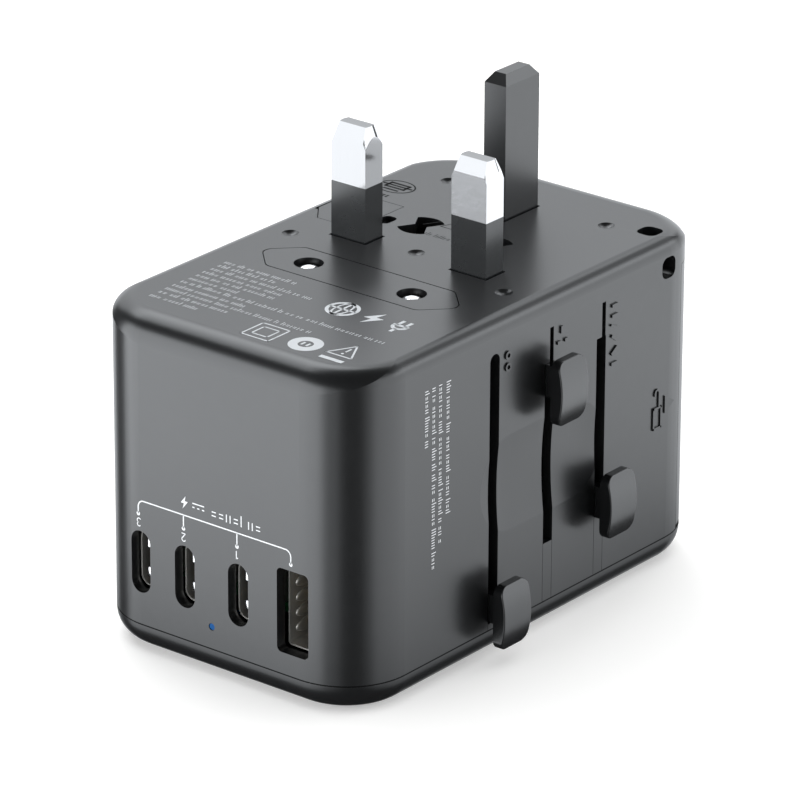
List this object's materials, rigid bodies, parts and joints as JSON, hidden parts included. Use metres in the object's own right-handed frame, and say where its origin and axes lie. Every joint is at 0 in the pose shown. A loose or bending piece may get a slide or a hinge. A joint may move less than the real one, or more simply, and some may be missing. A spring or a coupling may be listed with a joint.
{
  "type": "universal travel adapter",
  "caption": "Rounded box travel adapter with slide-out plug pins on its top face, a socket face underneath, thumb sliders on one side and charging ports at one end.",
  "frame": {"origin": "centre of the socket face, on which the adapter stands", "axes": "+Z out of the plug face, +X out of the side with the sliders, -Y out of the end with the charging ports"},
  "size_m": [0.0553, 0.083, 0.0743],
  "materials": {
    "shell": "satin moulded",
    "knob": "satin moulded",
    "inner_plastic": "plain moulded",
    "black_plastic": "plain moulded",
    "nickel": "bright nickel plate",
    "brass": "stamped",
    "steel": "plated",
    "dark_steel": "dark plated",
    "ceramic": "glazed ceramic",
    "circuit_board": "solder mask",
    "blue_light": "clear blue",
    "ferrite": "sintered",
    "winding_tape": "polyester tape",
    "capacitor_can": "drawn can",
    "blue_epoxy": "dipped epoxy",
    "copper": "enamelled copper"
  },
  "bodies": {
    "housing": {"bridge_rectifier": "black_plastic", "bulk_capacitor": "capacitor_can", "charger_partition": "inner_plastic", "cover_screws": "steel", "earth_contact": "brass", "fuse_caps": "nickel", "fuse_contacts": "brass", "fuse_tube": "ceramic", "inductor": "copper", "led_chip": "blue_light", "light_pipe": "blue_light", "line_bus_bar": "brass", "line_contact": "brass", "main_housing": "shell", "mid_frame": "inner_plastic", "neutral_bus_bar": "brass", "neutral_contact": "brass", "output_capacitor": "capacitor_can", "power_board": "circuit_board", "socket_cover": "shell", "transformer_core": "ferrite", "transformer_winding": "winding_tape", "us_bus_bars": "brass", "usb_a_contacts": "brass", "usb_a_shell": "dark_steel", "usb_a_tongue": "black_plastic", "usb_board": "circuit_board", "usb_c_shell_1": "dark_steel", "usb_c_shell_2": "dark_steel", "usb_c_shell_3": "dark_steel", "usb_c_tongues": "black_plastic", "y_capacitor": "blue_epoxy"},
    "uk_slider": {"uk_carrier": "inner_plastic", "uk_earth_pin": "shell", "uk_knob": "knob", "uk_line_pin": "nickel", "uk_line_sleeve": "black_plastic", "uk_neutral_pin": "nickel", "uk_neutral_sleeve": "black_plastic", "uk_wipers": "brass"},
    "eu_slider": {"eu_carrier": "inner_plastic", "eu_knob": "knob", "eu_left_pin": "nickel", "eu_right_pin": "nickel", "eu_sleeves": "black_plastic", "eu_wipers": "brass"},
    "eu_block": {"eu_block": "shell"},
    "us_slider": {"us_carrier": "inner_plastic", "us_knob": "knob", "us_wipers": "brass"},
    "us_left_blade": {"us_left_blade": "nickel", "us_left_rotor": "inner_plastic"},
    "us_right_blade": {"us_right_blade": "nickel", "us_right_rotor": "inner_plastic"},
    "end_hatch": {"end_hatch": "shell", "spare_fuse": "ceramic"},
    "fuse_lid": {"fuse_lid": "shell"},
    "shutter": {"shutter": "inner_plastic", "shutter_spring": "steel"}
  },
  "joints": [
    {"name": "uk_slide", "type": "slide", "parent": "housing", "child": "uk_slider", "axis": [0, 0, 1], "range_m": [-0.023, 0]},
    {"name": "eu_slide", "type": "slide", "parent": "housing", "child": "eu_slider", "axis": [0, 0, 1], "range_m": [0, 0.036]},
    {"name": "eu_block_rise", "type": "slide", "parent": "housing", "child": "eu_block", "axis": [0, 0, 1], "range_m": [0, 0.017]},
    {"name": "us_slide", "type": "slide", "parent": "housing", "child": "us_slider", "axis": [0, 0, 1], "range_m": [0, 0.023]},
    {"name": "us_left_twist", "type": "hinge", "parent": "us_slider", "child": "us_left_blade", "pos_m": [-0.00635, 0.012, 0.024], "axis": [0, 0, 1], "range_deg": [-30, 30]},
    {"name": "us_right_twist", "type": "hinge", "parent": "us_slider", "child": "us_right_blade", "pos_m": [0.00635, 0.012, 0.024], "axis": [0, 0, 1], "range_deg": [-30, 30]},
    {"name": "hatch_pull", "type": "slide", "parent": "housing", "child": "end_hatch", "axis": [0, 1, 0], "range_m": [0, 0.012]},
    {"name": "fuse_lid_lift", "type": "slide", "parent": "housing", "child": "fuse_lid", "axis": [0, 0, 1], "range_m": [0, 0.008]},
    {"name": "shutter_slide", "type": "slide", "parent": "housing", "child": "shutter", "axis": [0, -1, 0], "range_m": [0, 0.0052], "stiffness_N_per_m": 80, "springref_m": -0.004}
  ],
  "couplings": [
    {"joint": "eu_block_rise", "follows": "eu_slide", "ratio": 0.47222}
  ]
}
